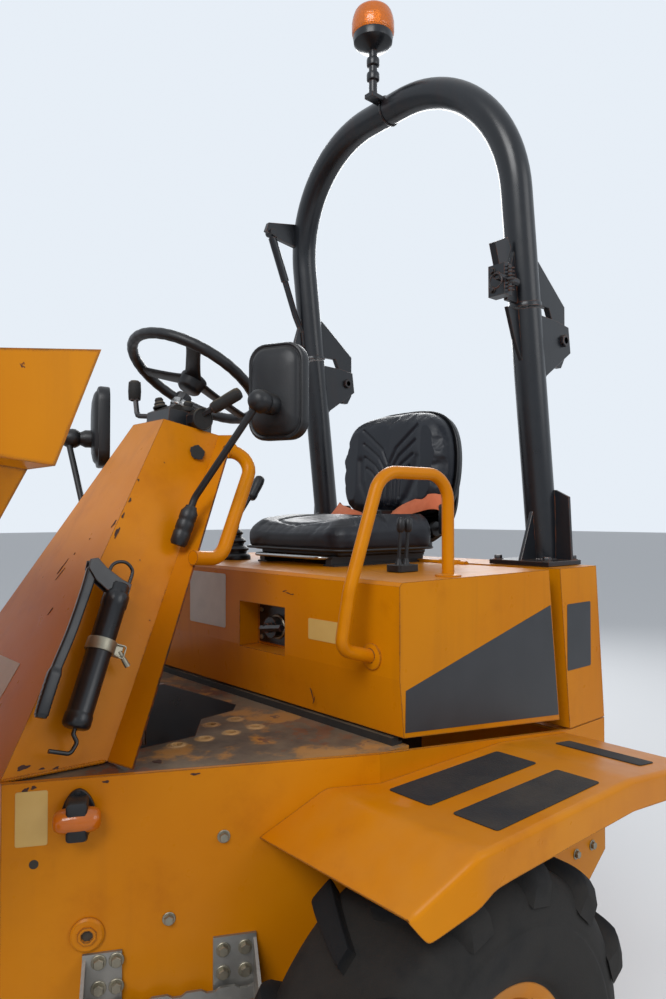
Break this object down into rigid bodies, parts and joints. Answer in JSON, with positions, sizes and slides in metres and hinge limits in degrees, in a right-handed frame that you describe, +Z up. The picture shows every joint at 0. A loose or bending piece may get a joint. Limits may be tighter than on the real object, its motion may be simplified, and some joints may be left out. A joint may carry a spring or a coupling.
{
  "type": "articulated site dumper with swivel skip",
  "caption": "Articulated site dumper with a swivelling, tipping skip on the front frame, folding roll-over hoop and hinged engine cover with the driver's seat.",
  "frame": {"origin": "on the ground under the middle of the whole machine's box, wheels straight and skip down", "axes": "+X forward along the machine to the skip's pouring lip, +Y to the machine's left, +Z up"},
  "size_m": [3.8, 1.84, 3.031],
  "materials": {
    "yellow_paint": "worn orange-yellow machine paint with rust at edges",
    "deck_paint": "deck paint worn to dark primer",
    "black_paint": "satin black paint",
    "black_plastic": "grained black plastic",
    "black_vinyl": "black seat vinyl",
    "tyre_rubber": "dusty black rubber",
    "wheel_paint": "orange-yellow wheel paint",
    "galvanised": "galvanised steel",
    "bright_steel": "bright steel",
    "ram_paint": "black ram paint",
    "amber_lens": "amber lens",
    "red_lens": "red lens",
    "belt_webbing": "orange belt webbing",
    "seal_rubber": "black rubber seal"
  },
  "bodies": {
    "rear_frame": {"rear_chassis": "yellow_paint", "deck_plate": "deck_paint", "rear_housing": "yellow_paint", "steering_tower": "yellow_paint", "dash_block": "black_paint", "tower_rails": "yellow_paint", "mirrors": "black_paint", "fenders": "yellow_paint", "boarding_steps": "galvanised", "rear_axle": "yellow_paint", "engine_block": "black_paint", "side_lamps": "amber_lens", "rear_lamps": "red_lens", "grease_gun": "black_paint", "pedals": "black_paint", "cover_seal": "seal_rubber", "rops_base": "black_paint"},
    "cover": {"engine_cover": "yellow_paint", "cover_rails": "yellow_paint", "isolator_switch": "black_paint", "seat_frame": "black_paint", "seat_cushion": "black_vinyl", "seat_back": "black_vinyl", "lap_belt": "belt_webbing", "cover_levers": "black_paint"},
    "hoop": {"rops_hoop": "black_paint", "hoop_latches": "black_paint", "beacon": "amber_lens"},
    "steering_wheel": {"steering_wheel": "black_plastic"},
    "front_frame": {"front_frame": "yellow_paint", "front_axle": "yellow_paint"},
    "carrier": {"skip_carrier": "yellow_paint"},
    "skip": {"skip": "yellow_paint"},
    "tip_barrel": {"tip_ram_barrel": "ram_paint"},
    "tip_rod": {"tip_ram_rod": "bright_steel"},
    "steer_barrel": {"steer_ram_barrel": "ram_paint"},
    "steer_rod": {"steer_ram_rod": "bright_steel"},
    "rear_left_wheel": {"rear_left_tyre": "tyre_rubber", "rear_left_rim": "wheel_paint"},
    "rear_right_wheel": {"rear_right_tyre": "tyre_rubber", "rear_right_rim": "wheel_paint"},
    "front_left_wheel": {"front_left_tyre": "tyre_rubber", "front_left_rim": "wheel_paint"},
    "front_right_wheel": {"front_right_tyre": "tyre_rubber", "front_right_rim": "wheel_paint"}
  },
  "joints": [
    {"name": "rear_left_wheel", "type": "hinge", "parent": "rear_frame", "child": "rear_left_wheel", "pos_m": [-1, 0.755, 0.422], "axis": [0, 1, 0], "continuous": true},
    {"name": "rear_right_wheel", "type": "hinge", "parent": "rear_frame", "child": "rear_right_wheel", "pos_m": [-1, -0.755, 0.422], "axis": [0, 1, 0], "continuous": true},
    {"name": "front_left_wheel", "type": "hinge", "parent": "front_frame", "child": "front_left_wheel", "pos_m": [0.85, 0.755, 0.422], "axis": [0, 1, 0], "continuous": true},
    {"name": "front_right_wheel", "type": "hinge", "parent": "front_frame", "child": "front_right_wheel", "pos_m": [0.85, -0.755, 0.422], "axis": [0, 1, 0], "continuous": true},
    {"name": "steer", "type": "hinge", "parent": "rear_frame", "child": "front_frame", "pos_m": [-0.09, 0, 0.545], "axis": [0, 0, 1], "range_deg": [-33, 33]},
    {"name": "steering_wheel", "type": "hinge", "parent": "rear_frame", "child": "steering_wheel", "pos_m": [-0.902, 0, 1.773], "axis": [-0.515, 0, 0.8572], "continuous": true},
    {"name": "engine_cover", "type": "hinge", "parent": "rear_frame", "child": "cover", "pos_m": [-1.58, 0, 1.306], "axis": [0, -1, 0], "range_deg": [0, 36]},
    {"name": "hoop_fold", "type": "hinge", "parent": "rear_frame", "child": "hoop", "pos_m": [-1.835, 0, 1.945], "axis": [0, -1, 0], "range_deg": [0, 100]},
    {"name": "skip_swivel", "type": "hinge", "parent": "front_frame", "child": "carrier", "pos_m": [0.675, 0, 0.72], "axis": [0, 0, 1], "range_deg": [-90, 90]},
    {"name": "skip_tip", "type": "hinge", "parent": "carrier", "child": "skip", "pos_m": [1.415, 0, 0.905], "axis": [0, 1, 0], "range_deg": [0, 68]},
    {"name": "tip_barrel_swing", "type": "hinge", "parent": "carrier", "child": "tip_barrel", "pos_m": [1.215, 0, 0.785], "axis": [0, 1, 0], "range_deg": [0, 72.3]},
    {"name": "tip_rod_slide", "type": "slide", "parent": "tip_barrel", "child": "tip_rod", "axis": [-0.9909, 0, 0.1344], "range_m": [0, 0.2295]},
    {"name": "steer_barrel_swing", "type": "hinge", "parent": "rear_frame", "child": "steer_barrel", "pos_m": [-0.454, 0.21, 0.545], "axis": [0, 0, 1], "range_deg": [-0.47, 0.47]},
    {"name": "steer_rod_slide", "type": "slide", "parent": "steer_barrel", "child": "steer_rod", "axis": [0.9728, -0.2317, 0], "range_m": [-0.067, 0.067]}
  ],
  "couplings": [
    {"joint": "tip_barrel_swing", "follows": "skip_tip", "ratio": 1.0625},
    {"joint": "tip_rod_slide", "follows": "skip_tip", "m_per_rad": 0.19297},
    {"joint": "steer_barrel_swing", "follows": "steer", "ratio": -0.0138},
    {"joint": "steer_rod_slide", "follows": "steer", "m_per_rad": -0.1133}
  ]
}
